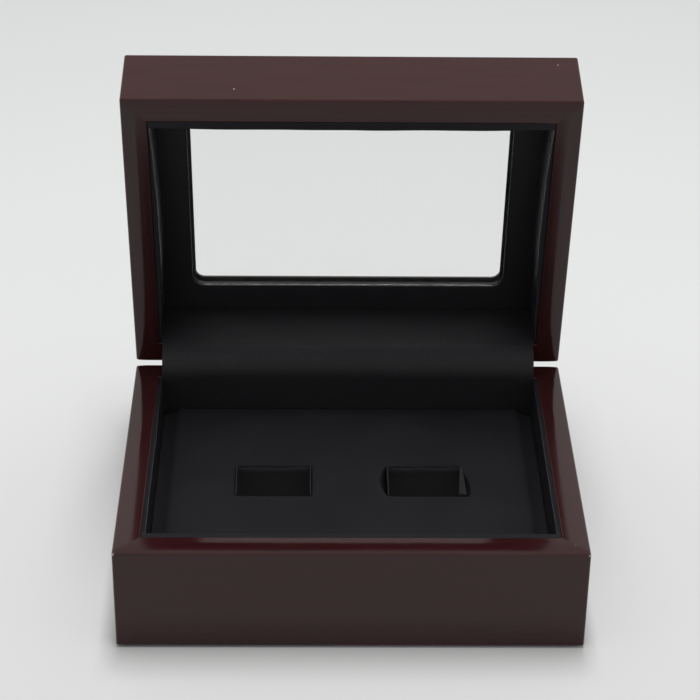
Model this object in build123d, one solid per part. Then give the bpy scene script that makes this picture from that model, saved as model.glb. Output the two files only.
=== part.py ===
from build123d import *
from math import degrees, sqrt
import os

# A small display box of lacquered board: a tray with a two-slot insert, and a hinged lid with a window.
# Millimetres. +X is right, +Y is back, where the hinges are, and +Z is up. The origin is the middle of
# the underside. The lid stands open against the stops of its hinges.

# Case boards
case_width = 160.0              # outside, along X
case_depth = 120.0              # outside, along Y
base_height = 40.0              # underside to the base's rim
lid_height = 28.0               # the lid's rim to its top
board_thickness = 9.0           # the walls of base and lid
edge_radius = 0.8               # outer edges, under the lacquer
rim_edge_radius = 0.4           # inner edges of both rims
crown_radius = 36.0             # the rims are polished round towards their outer edges
front_crown_width = 6.3         # how far in from the front that roundness starts
side_crown_width = 5.0
back_crown_width = 1.5          # least at the back, where the rims stay flat for the hinges
closed_gap = 0.3                # between the rims when the lid is shut
lid_open_angle = 79.5           # how far the lid turns from shut to its stops

# Panels and underside
floor_thickness = 5.0
top_panel_thickness = 5.8
rabbet_width = 4.5              # how far the floor and the top panel reach into the walls
panel_clearance = 0.1           # around each panel in its rabbet
felt_thickness = 0.8
felt_margin = 2.5               # bare board around the felt
felt_corner_radius = 3.0

# Lining boards
liner_thickness = 1.4           # along the sides
front_liner_thickness = 2.7
liner_setback = 0.3             # from the rim down to the lining's edge
liner_end_clearance = 0.1
liner_edge_radius = 0.5
window_liner_thickness = 2.2
window_liner_edge_radius = 0.8

# Window, measured at the opening of the top panel
window_length = 115.2           # along X
window_width = 75.7             # across the lid
window_corner_radius = 3.4
window_step = 1.1               # how far the liner frame's opening stands back from the panel's
bevel_width = 3.6
bevel_depth = 3.0
pane_thickness = 2.0
pane_lap = 4.0                  # how far the pane runs on past the panel's opening
pane_corner_radius = 3.0
pane_clearance = 0.3

# Hinge flap, which also lines both back boards
flap_thickness = 0.4
flap_glue = 0.05                # glue film behind the flap
flap_end_gap = 1.4              # from each end of the flap to the side board
flap_foot_gap = 0.2             # from each tail's end to the floor or the window's liner frame

# Insert
insert_drop = 11.8              # from the base's rim down to the insert's top
insert_clearance = 0.3          # around the insert
insert_side_radius = 6.0        # top edges at the left and right
insert_end_radius = 1.5         # edges at the front and back
cover_thickness = 0.8
slot_length = 28.2              # along X
slot_width = 18.8               # along Y
slot_depth = 17.0
slot_spacing = 54.2             # between the middles of the two slots
tuck_depth = 12.0               # how far the cover is tucked down into a slot
slot_lining_thickness = 1.2
slot_lining_clearance = 0.1
slot_tab_rise = 0.3             # how far the ends of the slot lining stand above the cover

# Hinges
hinge_inset = 35.0              # from the case's side in to the middle of the hinge
hinge_length = 20.0
leaf_reach = 7.0                # from the case's back face in to the leaf's front edge
leaf_thickness = 0.8
mortise_clearance = 0.1
barrel_offset = 0.8             # from the case's back face out to the hinge axis
barrel_radius = 1.45
barrel_clearance = 0.15         # around a knuckle
middle_knuckle_length = 7.6
knuckle_gap = 0.2
pin_radius = 0.75
pin_clearance = 0.04
pin_head_radius = 1.15
pin_head_thickness = 0.5
pin_head_gap = 0.05
heel_height = 1.1               # how far a stop heel stands out past the barrel
heel_angle = 25.0               # how much of a turn each heel takes up
stop_clearance = 0.03           # between the heels when the lid is open

# Hinge screws
screw_spacing = 12.0
screw_setback = 3.6             # from the case's back face in to the screws
screw_length = 6.0
screw_radius = 0.75
screw_tip_length = 1.2
screw_head_radius = 1.4
screw_sink = 0.05               # the head's top lies this far under the leaf's face
screw_clearance = 0.03
recess_length = 1.6
recess_width = 0.35
recess_depth = 0.35

face_tolerance = 0.001          # how near an edge lies to the face that it is on

# Places that follow from the sizes above
inner_x = case_width / 2 - board_thickness
inner_y = case_depth / 2 - board_thickness
flap_space = flap_thickness + 2 * flap_glue
floor_top = felt_thickness + floor_thickness
insert_top = base_height - insert_drop
lid_rim = base_height + closed_gap
window_liner_drop = lid_height - top_panel_thickness - window_liner_thickness
leaf_face_gap = closed_gap / 4
barrel_space = barrel_radius + barrel_clearance
axis_y = case_depth / 2 + barrel_offset
axis_z = base_height + closed_gap / 2
screw_head_height = screw_head_radius - screw_radius
hinge_places = {"left": hinge_inset - case_width / 2, "right": case_width / 2 - hinge_inset}
slot_places = {"left": -slot_spacing / 2, "right": slot_spacing / 2}


# ---- placing ----

def block(x_range, y_range, z_range):
    """A box between two limits on each axis."""
    spans = (x_range, y_range, z_range)
    size = [high - low for low, high in spans]
    middle = [(high + low) / 2 for low, high in spans]
    return Pos(*middle) * Box(*size)


def centred_block(length, width, z_range):
    """A box centred on the Z axis."""
    return block((-length / 2, length / 2), (-width / 2, width / 2), z_range)


def rounded_block(length, width, radius, z_range):
    """A box centred on the Z axis, with rounded upright corners."""
    low, high = z_range
    return extrude(Plane.XY.offset(low) * RectangleRounded(length, width, radius), high - low)


def run_along_x(face, x_range):
    """A prism of a face drawn in Y and Z, from one X to another."""
    start, end = x_range
    return extrude(Plane.YZ.offset(start) * face, end - start)


def open_lid(shape):
    """Turn a shape from where it lies with the lid shut to where it stands with the lid open."""
    return shape.rotate(Axis((0, axis_y, axis_z), (1, 0, 0)), -lid_open_angle)


def on_base(shape):
    """Put a shape that was drawn rim up, with its rim at zero, at the base's rim."""
    return Pos(0, 0, base_height) * shape


def on_lid(shape):
    """Turn a shape that was drawn rim up over onto the lid's rim, and open it with the lid."""
    return open_lid(Pos(0, 0, lid_rim) * mirror(shape, about=Plane.XY))


# ---- boards and panels, drawn rim up with the rim at zero ----

def case_corners(inset):
    """Corners of the case in plan, drawn in by an inset, from the front left round by the right."""
    x, y = case_width / 2 - inset, case_depth / 2 - inset
    return [(-x, -y), (x, -y), (x, y), (-x, y)]


def crowned_section(width, height, crowns):
    """A block's section, its top at zero and falling away in an arc over a crown width at each side."""
    low, high = -width / 2, width / 2
    flat = (low + crowns[0], high - crowns[1])
    drops = [crown_radius - sqrt(crown_radius**2 - crown**2) for crown in crowns]
    box = Polyline((low, -drops[0]), (low, -height), (high, -height), (high, -drops[1]))
    high_arc = RadiusArc(box @ 1, (flat[1], 0), -crown_radius)
    low_arc = RadiusArc((flat[0], 0), box @ 0, -crown_radius)
    return make_face([box, high_arc, Line(high_arc @ 1, low_arc @ 0), low_arc])


def crowned_block(height):
    """The case's outer shape, with its rim crowned along all four sides."""
    front_to_back = crowned_section(case_depth, height, (front_crown_width, back_crown_width))
    side_to_side = crowned_section(case_width, height, (side_crown_width, side_crown_width))
    along_x = extrude(Plane.YZ * front_to_back, case_width / 2, both=True)
    return along_x & extrude(Plane.XZ * side_to_side, case_depth / 2, both=True)


def walls(height, panel_thickness):
    """The four boards in one, with a rabbet for a panel at the far side from the rim."""
    outside = crowned_block(height)
    ring = fillet(outside.edges().filter_by(on_outer_face), edge_radius)
    ring -= centred_block(2 * inner_x, 2 * inner_y, (-height, 0))
    rim = ring.faces().sort_by(Axis.Z)[-1]
    ring = fillet(rim.inner_wires()[0].edges(), rim_edge_radius)
    rabbet = centred_block(
        2 * (inner_x + rabbet_width), 2 * (inner_y + rabbet_width), (-height, panel_thickness - height)
    )
    return ring - rabbet


def on_outer_face(edge):
    """Whether an edge lies on one of the case's four upright faces."""
    middle = edge.center()
    return max(abs(middle.X) - case_width / 2, abs(middle.Y) - case_depth / 2) > -face_tolerance


def mitred_boards(ring):
    """Front, right, back and left board, cut from the ring at its mitres."""
    outer, inner = case_corners(0), case_corners(2 * board_thickness)
    boards = {}
    for here, side in enumerate(("front", "right", "back", "left")):
        there = (here + 1) % len(outer)
        plan = make_face(Polyline(outer[here], outer[there], inner[there], inner[here], close=True))
        boards[side] = ring & extrude(plan, base_height + lid_height, both=True)
    return boards


def panel(low, thickness):
    """A panel that fills the walls' rabbet."""
    reach = rabbet_width - panel_clearance
    return centred_block(2 * (inner_x + reach), 2 * (inner_y + reach), (low, low + thickness))


def lining_boards(depth):
    """The wrapped boards along the front and side walls, down to a depth."""
    z_range = (-depth, -liner_setback)
    full_x = inner_x - liner_end_clearance
    side_y = (
        front_liner_thickness + liner_end_clearance - inner_y,
        inner_y - flap_space - liner_end_clearance,
    )
    boards = {
        "front": block((-full_x, full_x), (-inner_y, front_liner_thickness - inner_y), z_range),
        "left": block((-inner_x, liner_thickness - inner_x), side_y, z_range),
        "right": block((inner_x - liner_thickness, inner_x), side_y, z_range),
    }
    for side, board in boards.items():
        boards[side] = fillet(board.faces().sort_by(Axis.Z)[-1].edges(), liner_edge_radius)
    return boards


# ---- window, drawn rim up with the lid's rim at zero ----

def window_outline(margin, z):
    """The window's opening at a height, grown outwards by a margin."""
    outline = RectangleRounded(
        window_length + 2 * margin, window_width + 2 * margin, window_corner_radius + margin
    )
    return Plane.XY.offset(z) * outline


def top_panel():
    """The lid's top, with its bevelled opening and the pane's rabbet on the inner side."""
    low = -lid_height
    high = low + top_panel_thickness
    top = panel(low, top_panel_thickness)
    top -= extrude(window_outline(0, low), top_panel_thickness)
    top -= loft((window_outline(bevel_width, low), window_outline(0, low + bevel_depth)))
    return top - pane_block(pane_clearance, (high - pane_thickness, high))


def pane_block(clearance, z_range):
    """The pane's shape, or with a clearance the room for it."""
    margin = 2 * (pane_lap + clearance)
    return rounded_block(
        window_length + margin, window_width + margin, pane_corner_radius + clearance, z_range
    )


def window_pane():
    """The clear pane, flush with the top panel's inner side."""
    high = top_panel_thickness - lid_height
    return pane_block(0, (high - pane_thickness, high))


def window_liner_frame():
    """The wrapped frame that covers the top panel's inner side and holds the pane in."""
    low = top_panel_thickness - lid_height
    length, width = (2 * (half - liner_end_clearance) for half in (inner_x, inner_y))
    frame = centred_block(length, width, (low, low + window_liner_thickness))
    frame -= extrude(window_outline(window_step, low), window_liner_thickness)
    sill = frame.faces().sort_by(Axis.Z)[-1].inner_wires()[0]
    return fillet(sill.edges(), window_liner_edge_radius)


# ---- insert ----

def insert_body(inset):
    """The insert's shape, drawn in by an inset at the top and on all four sides."""
    side_x = inner_x - liner_thickness - insert_clearance - inset
    front_y = front_liner_thickness + insert_clearance + inset - inner_y
    back_y = inner_y - flap_space - insert_clearance - inset
    body = block((-side_x, side_x), (front_y, back_y), (floor_top, insert_top - inset))
    body = fillet(body.edges().filter_by(Axis.Y).group_by(Axis.Z)[-1], insert_side_radius - inset)
    ends = body.faces().filter_by(Axis.Y).edges()
    return fillet(ends.filter_by(lambda edge: edge.center().Z > floor_top), insert_end_radius - inset)


def slot_block(x, length, width, z_range):
    """A box centred on one slot."""
    return Pos(x, 0, 0) * centred_block(length, width, z_range)


def insert_cover():
    """The suede skin over the foam, open over each slot and tucked down its front and back."""
    cover = insert_body(0) - insert_body(cover_thickness)
    for x in slot_places.values():
        cover -= slot_block(x, slot_length, slot_width, (insert_top - slot_depth, insert_top))
        tucked = slot_block(
            x, slot_length, slot_width + 2 * cover_thickness, (insert_top - tuck_depth, insert_top)
        )
        cover += tucked - slot_block(x, slot_length, slot_width, (insert_top - tuck_depth, insert_top))
    return cover


def insert_foam_block():
    """The foam, with a pocket for each slot, its tucked cover and its lining."""
    foam = insert_body(cover_thickness)
    for x in slot_places.values():
        pocket_width = slot_width + 2 * cover_thickness
        foam -= slot_block(x, slot_length, pocket_width, (insert_top - slot_depth, insert_top))
    return foam


def slot_lining(x):
    """A strip along one slot's floor, turned up at both ends into tabs above the cover."""
    floor, top = insert_top - slot_depth, insert_top + slot_tab_rise
    length = slot_length - 2 * slot_lining_clearance
    width = slot_width - 2 * slot_lining_clearance
    strip = slot_block(x, length, width, (floor, top))
    hollow = slot_block(x, length - 2 * slot_lining_thickness, width, (floor + slot_lining_thickness, top))
    return strip - hollow


# ---- hinges, drawn about their axis, which lies along X, with the front towards -Y ----

def rod(radius, x_range):
    """A round bar on the hinge axis."""
    return run_along_x(Circle(radius), x_range)


def ring_sector(inner_radius, outer_radius, start_angle, turn, x_range):
    """A piece of a tube about the hinge axis. Angles turn from the back up over the axis."""
    arcs = [CenterArc((0, 0), radius, start_angle, turn) for radius in (inner_radius, outer_radius)]
    ends = [Line(arcs[0] @ end, arcs[1] @ end) for end in (0, 1)]
    return run_along_x(make_face(arcs + ends), x_range)


def stop_heel(inner_radius, x_range):
    """The base leaf's heel, which the lid leaf's mirrored heel meets when the lid is open."""
    outer_radius = barrel_space + heel_height
    stop_angle = (lid_open_angle + degrees(stop_clearance / outer_radius)) / 2
    return ring_sector(inner_radius, outer_radius, -stop_angle - heel_angle, heel_angle, x_range)


def middle_knuckles():
    """X limits of the lid leaf's one knuckle."""
    return [(-middle_knuckle_length / 2, middle_knuckle_length / 2)]


def outer_knuckles():
    """X limits of the base leaf's two knuckles."""
    start = middle_knuckle_length / 2 + knuckle_gap
    return [(-hinge_length / 2, -start), (start, hinge_length / 2)]


def hinge_leaf(own_knuckles, other_knuckles):
    """A leaf under the axis, with its knuckles, stop heel, bore and countersunk holes."""
    full = (-hinge_length / 2, hinge_length / 2)
    face = -leaf_face_gap
    leaf = block(full, (-barrel_offset - leaf_reach, 0), (face - leaf_thickness, face))
    for start, end in other_knuckles:
        leaf -= rod(barrel_space, (start - knuckle_gap, end + knuckle_gap))
    leaf += stop_heel(barrel_space, full)
    bore_radius = pin_radius + pin_clearance
    for knuckle in own_knuckles:
        leaf += rod(barrel_radius, knuckle) + stop_heel((bore_radius + barrel_radius) / 2, knuckle)
    leaf -= rod(bore_radius, full)
    return leaf - [place * screw_hole() for place in screw_places()]


def hinge_pin():
    """A pin through all the knuckles, with a flat head peened on each end."""
    end = hinge_length / 2 + pin_head_gap
    tip = end + pin_head_thickness
    heads = rod(pin_head_radius, (-tip, -end)) + rod(pin_head_radius, (end, tip))
    return heads + rod(pin_radius, (-end, end))


def hinge_mortise():
    """What a hinge takes out of a board: a leaf's bed, a groove for the barrel, and screw holes."""
    half = hinge_length / 2 + mortise_clearance
    front = -barrel_offset - leaf_reach - mortise_clearance
    bed = block((-half, half), (front, 0), (-leaf_face_gap - leaf_thickness, 0))
    groove_end = half + pin_head_gap + pin_head_thickness
    groove = rod(barrel_space, (-groove_end, groove_end))
    return bed + groove + [place * screw_hole() for place in screw_places()]


def screw_places():
    """Where one leaf's screws go."""
    y = -barrel_offset - screw_setback
    top = -leaf_face_gap - screw_sink
    return [Pos(x, y, top) for x in (-screw_spacing / 2, screw_spacing / 2)]


def screw_body(growth):
    """A countersunk screw that points down, its head's top at zero, grown sideways by a clearance."""
    shank, head = screw_radius + growth, screw_head_radius + growth
    point = -screw_length - growth * screw_tip_length / screw_radius
    outline = Polyline(
        (0, 0), (head, 0), (shank, -screw_head_height), (shank, screw_tip_length - screw_length),
        (0, point), close=True,
    )
    return revolve(Plane.XZ * make_face(outline), Axis.Z)


def screw_hole():
    """Room for a screw and, over it, for its head's way in."""
    return screw_body(screw_clearance) + extrude(Circle(screw_head_radius + screw_clearance), leaf_thickness)


def screw():
    """A countersunk screw with a cross recess."""
    bar = centred_block(recess_length, recess_width, (-recess_depth, 0))
    return screw_body(0) - bar - Rot(0, 0, 90) * bar


def at_hinge(shape, x):
    """Move a shape drawn about the hinge axis to one hinge, rim up with the rim at zero."""
    return Pos(x, axis_y, closed_gap / 2) * shape


def hinge_screws():
    """The screws of both leaves along one board."""
    return Compound([at_hinge(place * screw(), x) for x in hinge_places.values() for place in screw_places()])


def with_mortises(board):
    """A back board with a mortise for each hinge leaf."""
    return board - [at_hinge(hinge_mortise(), x) for x in hinge_places.values()]


# ---- hinge flap ----

def hinge_flap():
    """The leatherette sheet down both back boards, bowed about the hinge axis between them."""
    near = barrel_offset + board_thickness + flap_glue
    far = near + flap_thickness
    x_range = (flap_end_gap - inner_x, inner_x - flap_end_gap)
    base_tail = block(x_range, (-far, -near), (floor_top + flap_foot_gap - axis_z, 0))
    lid_tail = block(x_range, (-far, -near), (0, closed_gap / 2 + window_liner_drop - flap_foot_gap))
    bow = ring_sector(near, far, 180 - lid_open_angle, lid_open_angle, x_range)
    return Pos(0, axis_y, axis_z) * (base_tail + bow + lid_tail.rotate(Axis.X, -lid_open_angle))


# ---- nodes ----

def base_nodes():
    """Boards, floor, felt and lining of the base."""
    height = base_height - felt_thickness
    boards = mitred_boards(walls(height, floor_thickness))
    boards["back"] = with_mortises(boards["back"])
    found = {f"base_{side}_board": on_base(board) for side, board in boards.items()}
    found["base_floor_panel"] = on_base(panel(-height, floor_thickness))
    found["base_felt_sheet"] = rounded_block(
        case_width - 2 * felt_margin, case_depth - 2 * felt_margin, felt_corner_radius, (0, felt_thickness)
    )
    for side, board in lining_boards(base_height - floor_top).items():
        found[f"base_{side}_liner"] = on_base(board)
    return found


def insert_nodes():
    """The padded insert and the linings of its slots."""
    found = {"insert_foam_block": insert_foam_block(), "insert_cover": insert_cover()}
    for side, x in slot_places.items():
        found[f"{side}_slot_lining"] = slot_lining(x)
    return found


def lid_nodes():
    """Boards, top panel, window and lining of the lid."""
    boards = mitred_boards(walls(lid_height, top_panel_thickness))
    boards["back"] = with_mortises(boards["back"])
    shut = {f"lid_{side}_board": board for side, board in boards.items()}
    shut["lid_top_panel"] = top_panel()
    shut["window_pane"] = window_pane()
    shut["window_liner_frame"] = window_liner_frame()
    for side, board in lining_boards(window_liner_drop).items():
        shut[f"lid_{side}_liner"] = board
    return {name: on_lid(shape) for name, shape in shut.items()}


def hinge_nodes():
    """Leaves, pins and screws of both hinges."""
    found = {}
    for side, x in hinge_places.items():
        base_leaf = hinge_leaf(outer_knuckles(), middle_knuckles())
        lid_leaf = hinge_leaf(middle_knuckles(), outer_knuckles())
        found[f"{side}_hinge_base_leaf"] = on_base(at_hinge(base_leaf, x))
        found[f"{side}_hinge_lid_leaf"] = on_lid(at_hinge(lid_leaf, x))
        found[f"{side}_hinge_pin"] = on_base(at_hinge(hinge_pin(), x))
    found["base_hinge_screws"] = on_base(hinge_screws())
    found["lid_hinge_screws"] = on_lid(hinge_screws())
    return found


nodes = {**base_nodes(), **insert_nodes(), **lid_nodes(), **hinge_nodes(), "hinge_flap": hinge_flap()}

os.makedirs("parts", exist_ok=True)
for name, shape in nodes.items():
    export_step(shape, f"parts/{name}.step")
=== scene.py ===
import math

import bmesh
import bpy
from mathutils import Matrix, Vector, noise


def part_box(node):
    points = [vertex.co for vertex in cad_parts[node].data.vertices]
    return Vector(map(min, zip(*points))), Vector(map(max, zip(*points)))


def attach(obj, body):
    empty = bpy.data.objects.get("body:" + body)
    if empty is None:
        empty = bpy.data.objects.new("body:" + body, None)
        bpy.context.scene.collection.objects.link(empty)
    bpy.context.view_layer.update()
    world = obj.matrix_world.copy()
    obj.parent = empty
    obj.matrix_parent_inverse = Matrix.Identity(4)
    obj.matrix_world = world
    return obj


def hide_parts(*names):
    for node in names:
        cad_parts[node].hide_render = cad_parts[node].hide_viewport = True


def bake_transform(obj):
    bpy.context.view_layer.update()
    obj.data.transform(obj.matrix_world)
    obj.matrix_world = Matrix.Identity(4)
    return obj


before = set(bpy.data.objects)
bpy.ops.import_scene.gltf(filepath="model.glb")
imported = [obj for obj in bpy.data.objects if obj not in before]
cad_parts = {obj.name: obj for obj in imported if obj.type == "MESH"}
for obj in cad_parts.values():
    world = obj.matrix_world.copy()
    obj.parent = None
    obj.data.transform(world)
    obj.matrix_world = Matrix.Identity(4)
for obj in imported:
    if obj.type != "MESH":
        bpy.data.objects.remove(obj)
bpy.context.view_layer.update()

# ---- Camera ----------------------------------------------------------------
# The box is seen open from the front, through a long lens that looks down into
# the insert and through the lid's window.

EYE = (-0.013151, -0.656861, 0.478952)
LOOK_DOWN = math.radians(31.087)
LOOK_RIGHT = math.radians(1.1136)
CAMERA_ROLL = math.radians(0.7857)
LENS = 114.03

lens = bpy.data.cameras.new("camera")
lens.lens = LENS
lens.sensor_width = 36
lens.clip_start = 0.01
camera = bpy.data.objects.new("camera", lens)
bpy.context.scene.collection.objects.link(camera)
tilt = Matrix.Rotation(math.pi / 2 - LOOK_DOWN, 4, "X")
camera.matrix_world = (Matrix.Translation(EYE) @ Matrix.Rotation(-LOOK_RIGHT, 4, "Z") @ tilt
                       @ Matrix.Rotation(CAMERA_ROLL, 4, "Z"))
bpy.context.scene.camera = camera
bpy.context.scene.view_settings.view_transform = "Standard"


# ---- Table and studio light --------------------------------------------------
# A pale table top runs out of sight behind the box. A pale room lights it from
# all sides, and one long soft lamp above gives the shadow under the box.

class Shade:
    """A socket of a material. Sums with it add Math nodes, and node() adds any other node."""

    def __init__(self, tree, socket=None):
        self.tree = tree
        self.socket = socket

    def node(self, kind, inputs=None, output=0, **settings):
        made = self.tree.nodes.new(kind)
        for name, value in settings.items():
            setattr(made, name, value)
        for name, value in (inputs or {}).items():
            if isinstance(value, Shade):
                self.tree.links.new(value.socket, made.inputs[name])
            else:
                made.inputs[name].default_value = value
        return Shade(self.tree, made.outputs[output])

    def sum(self, operation, *values):
        return self.node("ShaderNodeMath", dict(enumerate(values)), operation=operation)

    def __add__(self, other):
        return self.sum("ADD", self, other)

    def __sub__(self, other):
        return self.sum("SUBTRACT", self, other)

    def __mul__(self, other):
        return self.sum("MULTIPLY", self, other)

    def __truediv__(self, other):
        return self.sum("DIVIDE", self, other)

    def __rsub__(self, other):
        return self.sum("SUBTRACT", other, self)

    __radd__ = __add__
    __rmul__ = __mul__

    def step(self, low, high):
        """0 below low, 1 above high, and an even ramp between them."""
        sockets = {"Value": self, "From Min": low, "From Max": high}
        return self.node("ShaderNodeMapRange", sockets)

    def between(self, first, second):
        """The colour first where this is 0, and second where it is 1."""
        sockets = {0: self, 6: first if isinstance(first, Shade) else (*first, 1),
                   7: second if isinstance(second, Shade) else (*second, 1)}
        return self.node("ShaderNodeMix", sockets, output=2, data_type="RGBA")


def new_finish(name, **constants):
    """A material with these constants on its shader, with a Shade of its tree and the shader."""
    finish = bpy.data.materials.new(name)
    finish.use_nodes = True
    shader = finish.node_tree.nodes["Principled BSDF"]
    for socket, value in constants.items():
        shader.inputs[socket.replace("_", " ")].default_value = value
    return finish, Shade(finish.node_tree), shader


def feed(shade, shader, socket):
    shade.tree.links.new(shade.socket, shader.inputs[socket])


TABLE_SIZE = 8
# The table's colour is painted darker at the front and far off, and lighter across the middle. This
# is painted light and shade for the way the light falls over it.
FRONT_TABLE_PAINTED_SHADE = (0.64, 0.64, 0.64)
MIDDLE_TABLE_PAINTED_LIGHT = (0.738, 0.75, 0.745)
FAR_TABLE_PAINTED_SHADE = (0.63, 0.65, 0.645)
TABLE_FRONT_Y = -0.35
TABLE_MIDDLE_Y = 0.15
TABLE_FAR_Y = 0.75
ROOM_COLOUR = (0.46, 0.458, 0.455)
SEEN_ROOM_COLOUR = (0.69, 0.68, 0.67)
LAMP_SIZE = (0.3, 1.0)
LAMP_POWER = 16
LAMP_PLACE = (0.03, 0.15, 1.5)

bpy.ops.object.select_all(action="DESELECT")
bpy.ops.mesh.primitive_plane_add(size=TABLE_SIZE)
table = bpy.context.object
table.name = "table"
paint, shade, shader = new_finish("table_paint", Roughness=0.75)
place = shade.node("ShaderNodeTexCoord", output="Object")
depth = shade.node("ShaderNodeSeparateXYZ", {0: place}, output="Y")
colour = depth.step(TABLE_FRONT_Y, TABLE_MIDDLE_Y).between(FRONT_TABLE_PAINTED_SHADE, MIDDLE_TABLE_PAINTED_LIGHT)
colour = depth.step(TABLE_MIDDLE_Y, TABLE_FAR_Y).between(colour, FAR_TABLE_PAINTED_SHADE)
feed(colour, shader, "Base Color")
table.data.materials.append(paint)

# Seen straight, mirrored or through the pane, the room is brighter than the light it gives.
room = bpy.data.worlds.new("room")
room.use_nodes = True
paths = Shade(room.node_tree)
seen = 0.0
for path in ("Is Camera Ray", "Is Glossy Ray", "Is Transmission Ray"):
    seen = paths.sum("MAXIMUM", paths.node("ShaderNodeLightPath", output=path), seen)
feed(seen.between(ROOM_COLOUR, SEEN_ROOM_COLOUR), room.node_tree.nodes["Background"], "Color")
bpy.context.scene.world = room

lamp = bpy.data.lights.new("soft_lamp", "AREA")
lamp.shape = "RECTANGLE"
lamp.size, lamp.size_y = LAMP_SIZE
lamp.energy = LAMP_POWER
soft_lamp = bpy.data.objects.new("soft_lamp", lamp)
soft_lamp.matrix_world = Matrix.Translation(LAMP_PLACE)
soft_lamp.visible_glossy = False
bpy.context.scene.collection.objects.link(soft_lamp)


# ---- Lacquered boards and panels ---------------------------------------------
# Both halves are four mitred boards and a thin panel in a rabbet, stained a deep
# mahogany and sprayed with a thick gloss lacquer that hides nearly all the grain.

OPEN_ANGLE = math.radians(79.5)
HINGE_AXIS = Vector((0, 0.0608, 0.04015))
# Carries the shut lid's places to where they are with the lid open.
OPEN_LID = (Matrix.Translation(HINGE_AXIS) @ Matrix.Rotation(-OPEN_ANGLE, 4, "X")
            @ Matrix.Translation(-HINGE_AXIS))
# Each stain's lighter and darker streaks.
STAIN = ((0.030, 0.0060, 0.0068), (0.023, 0.0050, 0.0058))
# The lid's long boards have the same stain, painted redder and brighter. This is painted light from
# the lamp above on the lid's front band.
LID_STAIN_PAINTED_LIGHT = ((0.0355, 0.0062, 0.0062), (0.0285, 0.0052, 0.0052))
LONG_STAIN = {"base": STAIN, "lid": LID_STAIN_PAINTED_LIGHT}
GLOSS = 0.375
LONG_GLOSS = {"base": GLOSS, "lid": 0.345}
SHORT_GLOSS = {"base": 0.44, "lid": GLOSS}
GRAIN_SCALE = {"X": (30, 700, 700), "Y": (700, 30, 700)}
GRAIN_RAMP = (0.35, 0.7)
# A few of the cells hold one small fleck each, round their middle.
FLECK_CELLS = 90.0
FLECKED_CELLS = (0.955, 0.96)
FLECK_RADII = (0.025, 0.04)
FLECK_STRENGTH = 0.35
PALE_SPECK_COLOUR = (0.40, 0.35, 0.31)
LIGHT_SPOT_CORE = 0.7
UNDERCOAT_Z = 0.0653
UNDERCOAT_FADE = 0.0001
UNDERCOAT = (0.055, 0.057, 0.053)
LEAST_ROUGHNESS = 0.06
CLOUDED_ROUGHNESS = 0.09
PEEL_HEIGHT = 0.000012
CLOUD_OVER_PEEL = 4
RIM_INNER_X = 0.071
RIM_ROUND = {"base": 0.0036, "lid": 0.0050}
RIM_RADIUS = 0.040
WORN_ROUGHNESS = {"base": 0.07, "lid": 0.14}
DULL_EDGE = 0.0005
DULL_EDGE_ROUGHNESS = 0.45
# Each pale spot's middle and radius.
LIGHT_SPOTS = {"base": (((-0.080, -0.060, 0.0393), 0.0009), ((0.080, -0.060, 0.0393), 0.0009),
                  ((0.0752, -0.0550, 0.0400), 0.0004)),
         "lid": (((0.0757, 0.0401, 0.1527), 0.0004), ((-0.0408, 0.0459, 0.1603), 0.0003),
                 ((0.0726, 0.0614, 0.1631), 0.0003))}


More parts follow.
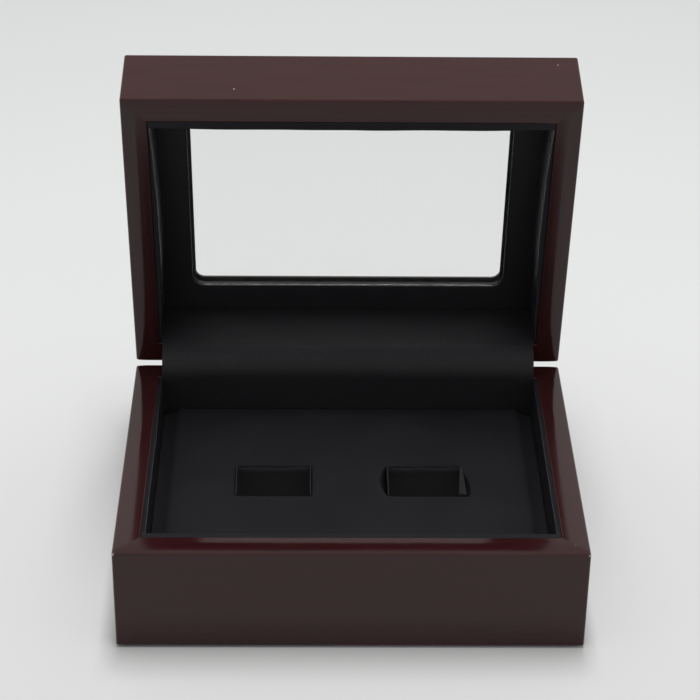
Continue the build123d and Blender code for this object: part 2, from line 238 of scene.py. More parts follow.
def lacquer(name, half, grain_along, gloss=GLOSS, stain=STAIN, spots=(), grey_below=None):
    """The lacquer on boards of either half of the box, whose grain runs along X or Y. It thins
    out and turns dull towards the side boards' inner edges. Ragged spots at listed places take
    a pale colour, and below a height there may be only the grey undercoat."""
    finish, shade, shader = new_finish(name, Specular_IOR_Level=gloss, IOR=1.5)
    place = shade.node("ShaderNodeTexCoord", output="Object")
    shut = OPEN_LID.inverted() if half == "lid" else Matrix()
    flat = shade.node("ShaderNodeMapping", {"Vector": place, "Location": shut.to_translation(),
                                            "Rotation": shut.to_euler()})
    fibres = shade.node("ShaderNodeMapping", {"Vector": flat, "Scale": GRAIN_SCALE[grain_along]})
    grain = shade.node("ShaderNodeTexNoise", {"Vector": fibres, "Scale": 1.0, "Detail": 3.0})
    colour = grain.step(*GRAIN_RAMP).between(*stain)
    cells = {"Vector": flat, "Scale": FLECK_CELLS}
    from_middle = shade.node("ShaderNodeTexVoronoi", cells)
    cell_colour = shade.node("ShaderNodeTexVoronoi", cells, output="Color")
    few = shade.node("ShaderNodeSeparateColor", {0: cell_colour}).step(*FLECKED_CELLS)
    fleck = (1 - from_middle.step(*FLECK_RADII)) * few
    colour = (fleck * FLECK_STRENGTH).between(colour, PALE_SPECK_COLOUR)
    for middle, radius in spots:
        away = shade.node("ShaderNodeVectorMath", {0: place, 1: middle}, output="Value",
                          operation="DISTANCE")
        ragged = shade.node("ShaderNodeTexNoise", {"Vector": place, "Scale": 1500.0})
        rim = away + (ragged - 0.5) * radius
        colour = (1 - rim.step(radius * LIGHT_SPOT_CORE, radius)).between(colour, PALE_SPECK_COLOUR)
    if grey_below:
        height = shade.node("ShaderNodeSeparateXYZ", {0: flat}, output="Z")
        above = height.step(grey_below, grey_below + UNDERCOAT_FADE)
        colour = above.between(UNDERCOAT, colour)
    feed(colour, shader, "Base Color")
    cloud = shade.node("ShaderNodeTexNoise", {"Vector": flat, "Scale": 45.0, "Detail": 2.0})
    roughness = LEAST_ROUGHNESS + cloud * CLOUDED_ROUGHNESS
    peel = shade.node("ShaderNodeTexNoise", {"Vector": flat, "Scale": 260.0, "Detail": 1.0})
    height = (peel + CLOUD_OVER_PEEL * cloud) * PEEL_HEIGHT
    if grain_along == "Y":
        across = shade.node("ShaderNodeSeparateXYZ", {0: flat}, output="X")
        edge = RIM_INNER_X + RIM_ROUND[half]
        inside = shade.sum("MAXIMUM", 0.0, edge - shade.sum("ABSOLUTE", across))
        height = height - inside * inside / (2 * RIM_RADIUS)
        roughness = roughness + inside.step(0.0, RIM_ROUND[half] / 2) * WORN_ROUGHNESS[half]
        at_edge = inside.step(RIM_ROUND[half] - DULL_EDGE, RIM_ROUND[half])
        roughness = roughness + at_edge * DULL_EDGE_ROUGHNESS
    feed(roughness, shader, "Roughness")
    feed(shade.node("ShaderNodeBump", {"Height": height, "Distance": 1.0}), shader, "Normal")
    return finish


def dress(node, finish):
    """Gives a CAD node this finish."""
    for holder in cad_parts[node].material_slots:
        holder.material = finish


for half in ("base", "lid"):
    long_grain = lacquer(half + "_lacquer_long", half, "X", LONG_GLOSS[half], LONG_STAIN[half],
                         LIGHT_SPOTS[half])
    short_grain = lacquer(half + "_lacquer_short", half, "Y", SHORT_GLOSS[half])
    for side in ("front", "back"):
        dress(f"{half}_{side}_board", long_grain)
    for side in ("left", "right"):
        dress(f"{half}_{side}_board", short_grain)
dress("base_floor_panel", lacquer("floor_lacquer", "base", "X"))
dress("lid_top_panel", lacquer("panel_lacquer", "lid", "X", grey_below=UNDERCOAT_Z))


# ---- Window pane -------------------------------------------------------------
# A clear sheet of acrylic, glued behind the window's bevelled opening in the lid
# panel. It is polished, with a few faint wipe marks.

WIPED_ROUGHNESS = 0.04

finish, shade, shader = new_finish("clear_acrylic", Transmission_Weight=1.0, IOR=1.49,
                                   Base_Color=(1, 1, 1, 1))
place = shade.node("ShaderNodeTexCoord", output="Object")
wiped = shade.node("ShaderNodeMapping", {"Vector": place, "Scale": (20, 180, 180)})
marks = shade.node("ShaderNodeTexNoise", {"Vector": wiped, "Scale": 1.0, "Detail": 4.0})
feed(marks.step(0.6, 0.9) * WIPED_ROUGHNESS, shader, "Roughness")
dress("window_pane", finish)


# ---- Hinges, pins and screws -------------------------------------------------
# Two small brass butt hinges, let into the back boards' rims. The leaves are
# brushed along their length, the pins and the screws' heads are turned.

BRASS = (0.70, 0.53, 0.26)
DULL_BRASS = (0.42, 0.30, 0.14)
BRASS_ROUGHNESS = 0.28
BRUSHED_ROUGHNESS = 0.2

finish, shade, shader = new_finish("brushed_brass", Metallic=1.0)
place = shade.node("ShaderNodeTexCoord", output="Object")
brushed = shade.node("ShaderNodeMapping", {"Vector": place, "Scale": (60, 4000, 4000)})
lines = shade.node("ShaderNodeTexNoise", {"Vector": brushed, "Scale": 1.0, "Detail": 2.0})
tarnish = shade.node("ShaderNodeTexNoise", {"Vector": place, "Scale": 400.0, "Detail": 3.0})
feed(tarnish.step(0.5, 0.75).between(BRASS, DULL_BRASS), shader, "Base Color")
feed(BRASS_ROUGHNESS + lines * BRUSHED_ROUGHNESS, shader, "Roughness")
feed(shade.node("ShaderNodeBump", {"Height": lines, "Strength": 0.2, "Distance": 0.00005}),
     shader, "Normal")
for side in ("left", "right"):
    for piece in ("hinge_base_leaf", "hinge_lid_leaf", "hinge_pin"):
        dress(f"{side}_{piece}", finish)
dress("base_hinge_screws", finish)
dress("lid_hinge_screws", finish)


# ---- Felt under the base -----------------------------------------------------
# A sheet of black wool felt, cut with round corners and glued under the base so
# that the box doesn't scratch what it stands on.

FELT = (0.017, 0.017, 0.018)
FELT_FLUFF = (0.045, 0.044, 0.043)

finish, shade, shader = new_finish("black_felt", Roughness=0.95, Sheen_Weight=0.3,
                                   Specular_IOR_Level=0.2)
place = shade.node("ShaderNodeTexCoord", output="Object")
fibres = shade.node("ShaderNodeTexNoise", {"Vector": place, "Scale": 2600.0, "Detail": 4.0,
                                           "Distortion": 1.5})
feed(fibres.step(0.5, 0.8).between(FELT, FELT_FLUFF), shader, "Base Color")
feed(shade.node("ShaderNodeBump", {"Height": fibres, "Strength": 0.6, "Distance": 0.0003}),
     shader, "Normal")
dress("base_felt_sheet", finish)


# ---- Lining boards -----------------------------------------------------------
# Thin card boards wrapped in black leatherette, glued inside the front and the
# sides of each half. The wrapping rounds every edge, and the lid's boards bow in.

LEATHERETTE = (0.0105, 0.0105, 0.0127)
LEATHERETTE_PEAK = (0.0150, 0.0150, 0.0178)
EDGE_ROUND = 0.00028
LID_FRONT_ROUND = 0.0008
LID_FRONT_SWELL = 0.0008
LID_SIDE_GROOVE = 0.0004
LID_END_THINNING = 0.0007
LID_SWELL = 0.0015
BASE_SWELL = 0.0002
BOARD_WAVE = 0.00025
WAVES_PER_METRE = 55
LINING_STRIP = 0.003
CLOUDED_LEATHERETTE = 0.12
CLOUD_OVER_PEBBLES = 2.5
# Two places this close are the same.
NEAR = 1e-5


def leatherette(name, roughness, gloss):
    """Coated cloth with a fine pebbled grain, a little lighter on its peaks."""
    finish, shade, shader = new_finish(name, Specular_IOR_Level=gloss)
    place = shade.node("ShaderNodeTexCoord", output="Object")
    pebbles = shade.node("ShaderNodeTexVoronoi", {"Vector": place, "Scale": 1900.0},
                         feature="SMOOTH_F1")
    cloud = shade.node("ShaderNodeTexNoise", {"Vector": place, "Scale": 120.0, "Detail": 3.0})
    feed(pebbles.step(0.1, 0.6).between(LEATHERETTE_PEAK, LEATHERETTE), shader, "Base Color")
    feed(roughness + cloud * CLOUDED_LEATHERETTE, shader, "Roughness")
    height = cloud * CLOUD_OVER_PEBBLES - pebbles
    feed(shade.node("ShaderNodeBump", {"Height": height, "Strength": 0.35, "Distance": 0.00012}),
         shader, "Normal")
    return finish


def select_only(piece):
    """Makes this piece the one that operators act on."""
    bpy.ops.object.select_all(action="DESELECT")
    piece.select_set(True)
    bpy.context.view_layer.objects.active = piece


def add_block(name, low, high):
    """A block between two corners, the stock that a piece is shaped from."""
    low = Vector(low)
    high = Vector(high)
    bpy.ops.object.select_all(action="DESELECT")
    bpy.ops.mesh.primitive_cube_add(size=1, location=(low + high) / 2, scale=high - low)
    piece = bpy.context.object
    piece.name = name
    piece.data.name = name
    bpy.ops.object.transform_apply(location=True, rotation=True, scale=True)
    return piece


def pick(piece, parts, test):
    """In edit mode, selects the faces or edges whose middle passes the test."""
    bpy.ops.mesh.select_mode(type={"faces": "FACE", "edges": "EDGE"}[parts])
    bpy.ops.mesh.select_all(action="DESELECT")
    shape = bmesh.from_edit_mesh(piece.data)
    for part in getattr(shape, parts):
        corners = [corner.co for corner in part.verts]
        if test(sum(corners, Vector()) / len(corners), part):
            part.select_set(True)
    bmesh.update_edit_mesh(piece.data)


def slice_along(axis, start, end, pitch):
    """Cuts the whole piece in edit mode across an axis, at even steps."""
    normal = Vector((0, 0, 0))
    normal[axis] = 1
    count = max(1, round((end - start) / pitch))
    for number in range(1, count):
        bpy.ops.mesh.select_all(action="SELECT")
        place = normal * (start + (end - start) * number / count)
        bpy.ops.mesh.bisect(plane_co=place, plane_no=normal)


def apply_modifier(piece, kind, **settings):
    """Adds a modifier with these settings and applies it."""
    select_only(piece)
    added = piece.modifiers.new(kind.lower(), kind)
    for name, value in settings.items():
        setattr(added, name, value)
    bpy.ops.object.modifier_apply(modifier=added.name)


def smooth(piece, angle=35):
    """Shades a finished piece smooth, except over corners sharper than the angle."""
    select_only(piece)
    bpy.ops.object.shade_smooth_by_angle(angle=math.radians(angle))


def shut_box(node):
    """Corners of a lid node with the lid shut, in metres."""
    back = OPEN_LID.inverted()
    corners = [back @ vertex.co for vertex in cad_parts[node].data.vertices]
    low = Vector([min(corner[axis] for corner in corners) for axis in range(3)])
    high = Vector([max(corner[axis] for corner in corners) for axis in range(3)])
    return low, high


def wrapped_board(node, low, high, rim, inner_round):
    """A lining board between two corners. Its face swells a little off the wood, most of all in the
    lid, where a side board's rim also slopes down to the wood and leaves a groove beside it. The
    rim's inner edge may be rounded over."""
    in_lid = node.startswith("lid")
    across = 0 if high.x - low.x < high.y - low.y else 1
    along = 1 - across
    inward = -1 if low[across] + high[across] > 0 else 1
    inner, outer = (high[across], low[across]) if inward > 0 else (low[across], high[across])
    piece = add_block(node + "_wrapped", low, high)
    bpy.ops.object.mode_set(mode="EDIT")
    slice_along(along, low[along], high[along], LINING_STRIP)
    slice_along(2, low.z, high.z, LINING_STRIP)
    bpy.ops.object.mode_set(mode="OBJECT")
    middle = (low[along] + high[along]) / 2
    half = (high[along] - low[along]) / 2
    for vertex in piece.data.vertices:
        share = (vertex.co[along] - middle) / half
        wave = noise.noise(Vector((vertex.co[along] * WAVES_PER_METRE, inward, 0))) * BOARD_WAVE
        on_rim = abs(vertex.co.z - rim) < NEAR
        if abs(vertex.co[across] - inner) < NEAR:
            if across == 1:
                swell = LID_FRONT_SWELL * (1 - share ** 6) * in_lid
            elif in_lid:
                swell = LID_SWELL * (1 - share ** 2) - LID_END_THINNING
            else:
                swell = BASE_SWELL
            vertex.co[across] += inward * (swell + wave * (1 - share ** 4))
        elif across == 0 and on_rim and in_lid:
            vertex.co.z += LID_SIDE_GROOVE
    bpy.ops.object.mode_set(mode="EDIT")
    if inner_round:
        pick(piece, "edges", lambda at, edge: abs(at.z - rim) < NEAR
             and abs(at[across] - inner) < NEAR)
        bpy.ops.mesh.bevel(offset=inner_round, segments=7)
    bpy.ops.object.mode_set(mode="OBJECT")
    for cloth in (lining_cloth, edge_cloth if across == 0 else dull_cloth, rolled_cloth):
        piece.data.materials.append(cloth)
    for face in piece.data.polygons:
        if abs(face.center.z - rim) <= LID_SIDE_GROOVE and abs(face.normal.z) > 0.1:
            face.material_index = 1
    apply_modifier(piece, "BEVEL", width=EDGE_ROUND, segments=4, limit_method="ANGLE",
                   angle_limit=math.radians(40), material=2 if across == 0 else 1)
    for face in piece.data.polygons:
        if abs(face.center[across] - outer) < EDGE_ROUND:
            face.material_index = 1
    smooth(piece)
    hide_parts(node)
    return piece


def hang_in_lid(piece):
    """Swings a piece that was made with the lid shut to where the open lid holds it."""
    piece.data.transform(OPEN_LID)
    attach(piece, "lid")


lining_cloth = leatherette("lining_leatherette", 0.44, 0.25)
dull_cloth = leatherette("dull_leatherette", 0.50, 0.14)
edge_cloth = leatherette("edge_leatherette", 0.50, 0.06)
rolled_cloth = leatherette("rolled_leatherette", 0.12, 0.56)
for side in ("front", "left", "right"):
    node = f"base_{side}_liner"
    low, high = map(Vector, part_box(node))
    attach(wrapped_board(node, low, high, high.z, 0), "base")
    node = f"lid_{side}_liner"
    low, high = shut_box(node)
    hang_in_lid(wrapped_board(node, low, high, low.z, LID_FRONT_ROUND if side == "front" else 0))


# ---- Window liner ------------------------------------------------------------
# One card frame wrapped in the same leatherette, pressed into the lid against
# the panel. Its opening stands back a little from the panel's, and its edge is
# rolled where the wrapping turns under.

LINER_OPENING = (0.1174, 0.0779)
OPENING_CORNER = 0.0045
ROLLED_EDGE = 0.0006
OUTLINE_BAND = 0.002
CUTTER_REACH = 0.01

low, high = shut_box("window_liner_frame")
pane_low, pane_high = shut_box("window_pane")
middle = (pane_low + pane_high) / 2
window_liner = add_block("window_liner_wrapped", low, high)
reach = Vector((LINER_OPENING[0] / 2, LINER_OPENING[1] / 2, CUTTER_REACH))
cutter = add_block("opening_cutter", middle - reach, middle + reach)
bpy.ops.object.mode_set(mode="EDIT")
pick(cutter, "edges", lambda at, edge: abs(edge.verts[0].co.z - edge.verts[1].co.z) > NEAR)
bpy.ops.mesh.bevel(offset=OPENING_CORNER, segments=8)
bpy.ops.object.mode_set(mode="OBJECT")
apply_modifier(window_liner, "BOOLEAN", operation="DIFFERENCE", object=cutter, solver="EXACT")
bpy.data.objects.remove(cutter)
bpy.ops.object.mode_set(mode="EDIT")
pick(window_liner, "edges", lambda at, edge: at.z < low.z + NEAR
     and all(low.x + OUTLINE_BAND < corner.co.x < high.x - OUTLINE_BAND for corner in edge.verts)
     and all(low.y + OUTLINE_BAND < corner.co.y < high.y - OUTLINE_BAND for corner in edge.verts)
     and len(edge.link_faces) == 2 and edge.calc_face_angle(0) > 1)
bpy.ops.mesh.bevel(offset=ROLLED_EDGE, segments=6)
bpy.ops.object.mode_set(mode="OBJECT")
smooth(window_liner)
window_liner.data.materials.append(rolled_cloth)
window_liner.data.materials.append(lining_cloth)
for face in window_liner.data.polygons:
    if abs(face.normal.x) > 0.5 or abs(face.normal.z) > 0.99:
        face.material_index = 1
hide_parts("window_liner_frame")
hang_in_lid(window_liner)


# ---- Hinge flap --------------------------------------------------------------
# A strip of leatherette, glued down the base's back board and across the lid's.
# Between them it bridges the hinge gap.

FLAP_WIDTH = 0.1392
TAIL_WIDTH = 0.1416
NARROWING = 1.6
FLAP_FACES = (72, 84)
FLAP_THICKNESS = 0.0004
FLAP_RADIUS = 0.01005
FLAP_FOOT = 0.0060
LID_TAIL = 0.01995
BOW_HEIGHT = 0.0009
BOW_REACH = 0.011
SLACK = 0.0003
SLACK_WAVES_PER_METRE = (25, 45)
# One slanting crease in the tail on the lid, around its middle.
CREASE = 0.00018
CREASE_FROM_END = 0.0075
CREASE_SLANT = 0.02
CREASE_BREADTH = 0.0009
CREASE_MIDDLE = 0.002
CREASE_HALF_LENGTH = 0.012

base_tail = HINGE_AXIS.z - FLAP_FOOT
turn_length = FLAP_RADIUS * OPEN_ANGLE
flap_length = base_tail + turn_length + LID_TAIL


def flap_place(run):
    """Place of the flap's middle line at this length from its foot, and the way off its boards."""
    turned = min(max((run - base_tail) / FLAP_RADIUS, 0), OPEN_ANGLE)
    inward = Vector((0, -math.cos(turned), math.sin(turned)))
    ahead = Vector((0, math.sin(turned), math.cos(turned)))
    start = HINGE_AXIS + inward * FLAP_RADIUS
    beyond = min(run - base_tail, 0) + max(run - base_tail - turn_length, 0)
    return start + ahead * beyond, inward


bpy.ops.object.select_all(action="DESELECT")
bpy.ops.mesh.primitive_grid_add(x_subdivisions=FLAP_FACES[0], y_subdivisions=FLAP_FACES[1], size=1)
flap = bpy.context.object
flap.name = "hinge_flap_sheet"
for vertex in flap.data.vertices:
    run = (vertex.co.y + 0.5) * flap_length
    place, inward = flap_place(run)
    bridging = math.exp(-((run - base_tail - turn_length / 2) / BOW_REACH) ** 2)
    width = TAIL_WIDTH + (FLAP_WIDTH - TAIL_WIDTH) * min(1, NARROWING * bridging ** 2)
    across = vertex.co.x * width
    waves = (across * SLACK_WAVES_PER_METRE[0], run * SLACK_WAVES_PER_METRE[1], 3.1)
    slack = noise.noise(Vector(waves)) * SLACK * bridging
    from_crease = run - flap_length + CREASE_FROM_END + across * CREASE_SLANT
    crease = math.exp(-(from_crease / CREASE_BREADTH) ** 2) * CREASE
    crease *= max(0, 1 - abs(across - CREASE_MIDDLE) / CREASE_HALF_LENGTH)
    off_boards = slack + bridging * BOW_HEIGHT + crease
    vertex.co = place + inward * off_boards + Vector((across, 0, 0))
bpy.ops.object.mode_set(mode="EDIT")
bpy.ops.mesh.select_all(action="SELECT")
bpy.ops.mesh.normals_make_consistent(inside=False)
bpy.ops.object.mode_set(mode="OBJECT")
apply_modifier(flap, "SOLIDIFY", thickness=FLAP_THICKNESS, offset=0)
smooth(flap)
flap.data.materials.append(leatherette("flap_leatherette", 0.54, 0.30))
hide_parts("hinge_flap")
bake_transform(flap)


# ---- Insert ------------------------------------------------------------------
# A block of black foam with two slots, sloped off to the left and right. Suede
# cloth with a short nap is drawn over it, glued all round and tucked into each slot.

SLOT_CENTRES = {"left": -0.0272, "right": 0.0271}
SLOT_HALF_LENGTH = 0.0136
SLOT_HALF_WIDTH = 0.0094
FOAM_SLOT_HALF = (0.0171, 0.0100)
FOAM_SLOT_DEPTH = 0.017
TUCK_DEPTH = 0.009
SIDE_SLOPE = 0.0060
SIDE_DROP = 0.0040
SIDE_ROLL = 0.0012
END_ROLL = 0.0012
BACK_SAG = 0.0016
BACK_SAG_REACH = 0.0075
SLOT_CORNER = 0.0010
SLOT_ROLL = 0.0009
COVER_THICKNESS = 0.0006
COVER_PITCH = 0.0024
PUFF_PRESSURE = 0.6
PUFF_STEPS = 20
MOST_PUFF = 0.0006
FOAM = (0.010, 0.010, 0.010)
FOAM_WALL = (0.022, 0.022, 0.022)
SUEDE = (0.0098, 0.0098, 0.0117)
SUEDE_NAP = (0.0163, 0.0163, 0.0187)
# The insert's sloped sides are painted lighter than its top. This is a painted sheen.
SLOPE_PAINTED_SHEEN = (0.0197, 0.0197, 0.0221)
SLOPE_SHEEN_FROM = 0.0015
SLOPE_SHEEN_FADE = 0.0050
# Towards the top of the slot trays the suede is painted darker. This is a painted shade where the
# lamp lights their upper walls.
TRAY_TOP_PAINTED_SHADE = (0.0195, 0.0195, 0.0215)
TRAY_TOP_SHADE_FADE = 0.012
CLOUDED_SUEDE = 0.12
PATCH_SHARE = 0.6
PATCHES_OVER_NAP = 6


def suede(name, roughness, gloss, dark, light, sheen_from=None, shaded_from=None):
    """Suede cloth, whose short nap lies in soft patches of lighter and darker black. Further out
    to either side than a given distance its colour is painted lighter, a painted sheen on the
    sloped sides. Near and above a given height it is painted darker, a painted shade."""
    finish, shade, shader = new_finish(name, Specular_IOR_Level=gloss)
    place = shade.node("ShaderNodeTexCoord", output="Object")
    nap = shade.node("ShaderNodeTexNoise", {"Vector": place, "Scale": 3200.0, "Detail": 2.0})
    patches = shade.node("ShaderNodeTexNoise", {"Vector": place, "Scale": 38.0, "Detail": 4.0})
    lightness = patches.step(0.35, 0.7) * PATCH_SHARE + nap * (1 - PATCH_SHARE)
    colour = lightness.between(dark, light)
    if sheen_from:
        across = shade.node("ShaderNodeSeparateXYZ", {0: place}, output="X")
        aside = shade.sum("ABSOLUTE", across).step(sheen_from, sheen_from + SLOPE_SHEEN_FADE)
        colour = aside.between(colour, SLOPE_PAINTED_SHEEN)
    if shaded_from:
        height = shade.node("ShaderNodeSeparateXYZ", {0: place}, output="Z")
        colour = height.step(shaded_from - TRAY_TOP_SHADE_FADE, shaded_from).between(colour, TRAY_TOP_PAINTED_SHADE)
    feed(colour, shader, "Base Color")
    feed(roughness + patches * CLOUDED_SUEDE, shader, "Roughness")
    feed(shade.node("ShaderNodeBump", {"Height": nap + PATCHES_OVER_NAP * patches,
                                       "Strength": 0.4, "Distance": 0.0001}), shader, "Normal")
    return finish


def sloped_block(name, node, slots, depth):
    """The insert's block in edit mode, sloped off at both sides, with open slots. Each slot is
    given as its middle along X, its half length and its half width."""
    low, high = map(Vector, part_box(node))
    piece = add_block(name, low, high)
    bpy.ops.object.mode_set(mode="EDIT")
    bpy.ops.mesh.bisect(plane_co=(0, 0, high.z - SIDE_DROP), plane_no=(0, 0, 1))
    pick(piece, "faces", lambda at, face: at.z > high.z - NEAR)
    bpy.ops.transform.resize(value=((high.x - SIDE_SLOPE) / high.x, 1, 1),
                             center_override=(0, 0, 0))
    pick(piece, "faces", lambda at, face: at.z < low.z + NEAR)
    bpy.ops.mesh.delete(type="FACE")
    for centre, half_length, half_width in slots:
        for side in (-1, 1):
            bpy.ops.mesh.select_all(action="SELECT")
            bpy.ops.mesh.bisect(plane_co=(centre + side * half_length, 0, 0), plane_no=(1, 0, 0))
    for side in (-1, 1):
        bpy.ops.mesh.select_all(action="SELECT")
        bpy.ops.mesh.bisect(plane_co=(0, side * slots[0][2], 0), plane_no=(0, 1, 0))
    pick(piece, "faces", lambda at, face: at.z > high.z - NEAR and abs(at.y) < slots[0][2]
         and any(abs(at.x - centre) < half_length for centre, half_length, _ in slots))
    bpy.ops.mesh.extrude_region_move(TRANSFORM_OT_translate={"value": (0, 0, -depth)})
    bpy.ops.mesh.delete(type="FACE")
    return piece, low, high


finish, shade, shader = new_finish("black_foam", Roughness=0.95, Specular_IOR_Level=0.15)
place = shade.node("ShaderNodeTexCoord", output="Object")
cells = shade.node("ShaderNodeTexVoronoi", {"Vector": place, "Scale": 1400.0})
feed(cells.step(0.2, 0.7).between(FOAM, FOAM_WALL), shader, "Base Color")
feed(shade.node("ShaderNodeBump", {"Height": cells, "Strength": 0.7, "Distance": 0.0004}),
     shader, "Normal")

slots = [(centre, *FOAM_SLOT_HALF) for centre in SLOT_CENTRES.values()]
foam, low, high = sloped_block("insert_foam_cut", "insert_foam_block", slots, FOAM_SLOT_DEPTH)
pick(foam, "edges", lambda at, edge: edge.is_boundary)
bpy.ops.mesh.edge_face_add()
pick(foam, "edges", lambda at, edge: at.z > high.z - NEAR
     and all(abs(abs(corner.co.x) - high.x + SIDE_SLOPE) < NEAR for corner in edge.verts))
bpy.ops.mesh.bevel(offset=SIDE_ROLL, segments=3)
pick(foam, "edges", lambda at, edge: at.z > high.z - NEAR
     and all(corner.co.y > high.y - NEAR for corner in edge.verts))
bpy.ops.transform.translate(value=(0, 0, -BACK_SAG))
bpy.ops.mesh.select_all(action="SELECT")
bpy.ops.mesh.normals_make_consistent(inside=False)
bpy.ops.object.mode_set(mode="OBJECT")
foam.data.materials.append(finish)
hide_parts("insert_foam_block")
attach(foam, "base")

LEFT_CRESCENT = {"pull": -0.0024, "middle": 0.0, "half": 0.0088}
RIGHT_CRESCENT = {"pull": 0.0027, "middle": -0.0045, "half": 0.0100}
CRESCENT_DEPTH = 0.0045
CRESCENT_REACH = 0.006
EDGE_WAVE = 0.00030
EDGE_WAVES_PER_METRE = 190

slots = [(centre, SLOT_HALF_LENGTH, SLOT_HALF_WIDTH) for centre in SLOT_CENTRES.values()]
cover, low, high = sloped_block("insert_cover_cloth", "insert_cover", slots, TUCK_DEPTH)


def by_slot(at, spare):
    """Whether a place is within a slot's outline, let out by spare."""
    return any(abs(at.x - centre) < half_length + spare and abs(at.y) < half_width + spare
               for centre, half_length, half_width in slots)


tuck_middle = high.z - TUCK_DEPTH / 2
pick(cover, "edges", lambda at, edge: abs(at.z - tuck_middle) < NEAR and by_slot(at, NEAR))
bpy.ops.mesh.bevel(offset=SLOT_CORNER, segments=3)
pick(cover, "edges", lambda at, edge: at.z > high.z - NEAR
     and all(abs(abs(corner.co.x) - high.x + SIDE_SLOPE) < NEAR for corner in edge.verts))
bpy.ops.mesh.bevel(offset=SIDE_ROLL, segments=5)
for end in (low.y, high.y):
    pick(cover, "edges", lambda at, edge: not edge.is_boundary
         and all(abs(corner.co.y - end) < NEAR for corner in edge.verts))
    bpy.ops.mesh.bevel(offset=END_ROLL, segments=4)
pick(cover, "edges", lambda at, edge: at.z > high.z - NEAR and by_slot(at, NEAR)
     and any(face.normal.z < 0.5 for face in edge.link_faces))
bpy.ops.mesh.bevel(offset=SLOT_ROLL, segments=4)
slice_along(0, low.x, high.x, COVER_PITCH)
slice_along(1, low.y, high.y, COVER_PITCH)
slice_along(1, high.y - BACK_SAG_REACH, high.y, COVER_PITCH / 3)
bpy.ops.mesh.select_all(action="SELECT")
bpy.ops.mesh.bisect(plane_co=(0, 0, high.z - CRESCENT_DEPTH), plane_no=(0, 0, 1))
bpy.ops.mesh.select_all(action="SELECT")
bpy.ops.mesh.remove_doubles(threshold=2 * NEAR)
bpy.ops.mesh.normals_make_consistent(inside=False)
bpy.ops.object.mode_set(mode="OBJECT")

# The cloth is pulled back from the right slot's ends in two crescents, waves along both slots'
# long edges and sags to the back.
for vertex in cover.data.vertices:
    place = vertex.co
    share = max(0, (place.y - high.y + BACK_SAG_REACH) / BACK_SAG_REACH)
    if place.z > high.z - SIDE_DROP:
        place.z -= BACK_SAG * share ** 2
    for side, centre in SLOT_CENTRES.items():
        from_end = abs(place.x - centre) - SLOT_HALF_LENGTH
        from_side = abs(place.y) - SLOT_HALF_WIDTH
        if max(from_end, from_side) > CRESCENT_REACH or place.z < high.z - TUCK_DEPTH - NEAR:
            continue
        if side == "right":
            crescent = RIGHT_CRESCENT if place.x > centre else LEFT_CRESCENT
            breadth = max(0, 1 - ((place.y - crescent["middle"]) / crescent["half"]) ** 2)
            fade = max(0, 1 - abs(from_end) / CRESCENT_REACH)
            near_top = max(0, 1 - (high.z - place.z) / CRESCENT_DEPTH)
            place.x += crescent["pull"] * breadth * fade * near_top
        wave = noise.noise(Vector((place.x * EDGE_WAVES_PER_METRE, 3 * (place.y > 0), 7.0)))
        place.y += wave * EDGE_WAVE * max(0, 1 - abs(from_side) / CRESCENT_REACH) * (from_end < 0)


def puff(piece, free, most):
    """Swells cloth between its glued places with a short cloth run, to a greatest rise."""
    glued = piece.vertex_groups.new(name="glued")
    glued.add([vertex.index for vertex in piece.data.vertices if not free(vertex.co)], 1, "ADD")
    flat = [vertex.co.copy() for vertex in piece.data.vertices]
    select_only(piece)
    cloth = piece.modifiers.new("cloth", "CLOTH")
    cloth.settings.vertex_group_mass = "glued"
    cloth.settings.use_pressure = True
    cloth.settings.uniform_pressure_force = PUFF_PRESSURE
    cloth.settings.effector_weights.gravity = 0
    for moment in range(1, PUFF_STEPS + 1):
        bpy.context.scene.frame_set(moment)
    bpy.ops.object.modifier_apply(modifier="cloth")
    bpy.context.scene.frame_set(1)
    rises = [vertex.co - start for vertex, start in zip(piece.data.vertices, flat)]
    highest = max(rise.length for rise in rises)
    for vertex, start, rise in zip(piece.data.vertices, flat, rises):
        vertex.co = start + rise * min(1, most / highest)


puff(cover, lambda at: at.z > high.z - BACK_SAG and abs(at.x) < high.x - SIDE_SLOPE
     and low.y + END_ROLL < at.y < high.y - END_ROLL and not by_slot(at, SLOT_ROLL),
     MOST_PUFF)
apply_modifier(cover, "SOLIDIFY", thickness=COVER_THICKNESS, offset=-1)
smooth(cover, 50)
cover.data.materials.append(suede("insert_suede", 0.55, 0.11, SUEDE, SUEDE_NAP,
                                 sheen_from=high.x - SIDE_SLOPE + SLOPE_SHEEN_FROM))
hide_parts("insert_cover")
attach(cover, "base")


# ---- Slot linings ------------------------------------------------------------
# A card tray wrapped in suede is pushed into each slot. Its suede is painted lighter than
# the insert's, painted light down in the slot, and darker towards its top, painted shade.
# Its ends stand up as tabs just above the cloth; the right tray's outer tab is folded over double.

TRAY_HALF_LENGTH = 0.0135
TRAY_HALF_WIDTH = 0.0091
TRAY_WALL = 0.00045
TRAY_PITCH = 0.0012
TAB_RISE = {"left": 0.00025, "right": 0.0004}
BACK_WALL_DROP = 0.0009
FRONT_WALL_DROP = 0.0035
# How far the folded tab spreads out of the tray and into it, most at its front end.
SPREAD_OUT = {"left": 0.0, "right": 0.0010}
SPREAD_IN = {"left": 0.0, "right": 0.0012}
BACK_SPREAD = 0.3
LEAN_DEPTH = 0.005
BACK_WALL_SHIFT = 0.9 * TRAY_WALL
WALL_WAVE = 0.5
WALL_WAVES_PER_METRE = (260, 40)
TRAY_EDGE_ROUND = 0.4 * TRAY_WALL
# The trays' suede is painted lighter than the insert's. This is painted light down in the slots.
TRAY_SUEDE_PAINTED_LIGHT = (0.052, 0.052, 0.056)
TRAY_NAP_PAINTED_LIGHT = (0.066, 0.066, 0.071)

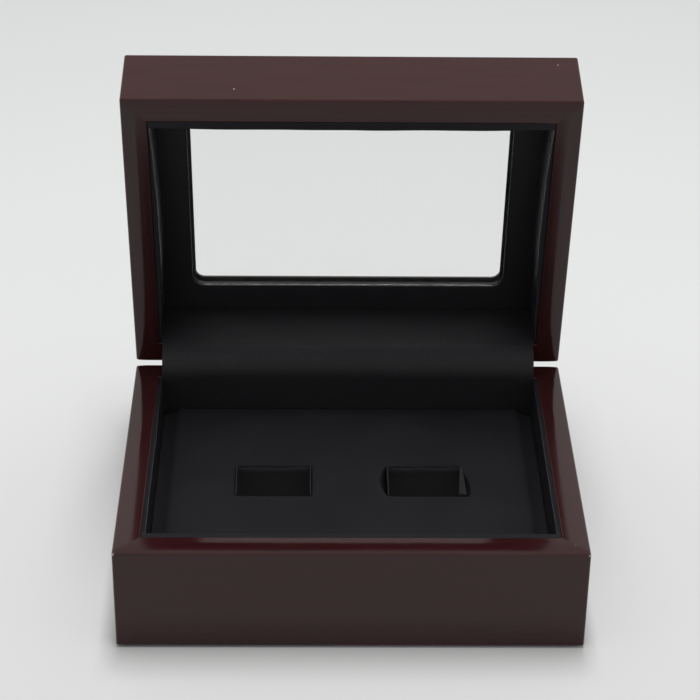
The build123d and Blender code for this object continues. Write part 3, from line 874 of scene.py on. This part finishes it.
tray_cloth = suede("tray_suede", 0.7, 0.15, TRAY_SUEDE_PAINTED_LIGHT, TRAY_NAP_PAINTED_LIGHT,
                   shaded_from=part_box("left_slot_lining")[1][2])
for side, centre in SLOT_CENTRES.items():
    node = f"{side}_slot_lining"
    low, high = map(Vector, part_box(node))
    low.x, high.x = centre - TRAY_HALF_LENGTH, centre + TRAY_HALF_LENGTH
    low.y, high.y = -TRAY_HALF_WIDTH, TRAY_HALF_WIDTH
    tray = add_block(f"{side}_slot_tray", low, high)
    bpy.ops.object.mode_set(mode="EDIT")
    pick(tray, "faces", lambda at, face: at.z > high.z - NEAR)
    bpy.ops.mesh.inset(thickness=TRAY_WALL)
    depth = high.z - low.z - TRAY_WALL
    bpy.ops.mesh.extrude_region_move(TRANSFORM_OT_translate={"value": (0, 0, -depth)})
    slice_along(0, low.x, high.x, TRAY_PITCH)
    slice_along(1, low.y, high.y, TRAY_PITCH)
    slice_along(2, low.z, high.z, TRAY_PITCH)
    bpy.ops.object.mode_set(mode="OBJECT")
    for vertex in tray.data.vertices:
        place = vertex.co
        near_top = max(0, 1 - (high.z - place.z) / LEAN_DEPTH)
        to_front = 0.5 - 0.5 * place.y / TRAY_HALF_WIDTH
        if abs(place.x - centre) > TRAY_HALF_LENGTH - TRAY_WALL - NEAR:
            if place.x > high.x - NEAR:
                spread = SPREAD_OUT[side] * (BACK_SPREAD + (1 - BACK_SPREAD) * to_front)
                place.x += spread * near_top ** 0.5
            elif place.x > centre:
                place.x -= SPREAD_IN[side] * to_front * near_top ** 0.5
            place.z += TAB_RISE[side] * near_top * (1 - (place.y / TRAY_HALF_WIDTH) ** 4)
        else:
            waves = (place.x * WALL_WAVES_PER_METRE[0], place.y * WALL_WAVES_PER_METRE[1], 1.0)
            ragged = 1 + WALL_WAVE * noise.noise(Vector(waves))
            drop = BACK_WALL_DROP if place.y > 0 else FRONT_WALL_DROP
            if near_top > 0.99 and 0 < place.y < TRAY_HALF_WIDTH - TRAY_WALL / 2:
                place.y += BACK_WALL_SHIFT
            place.z -= drop * near_top * ragged
    apply_modifier(tray, "BEVEL", width=TRAY_EDGE_ROUND, segments=2, limit_method="ANGLE",
                   angle_limit=math.radians(60))
    smooth(tray)
    tray.data.materials.append(tray_cloth)
    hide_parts(node)
    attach(tray, "base")
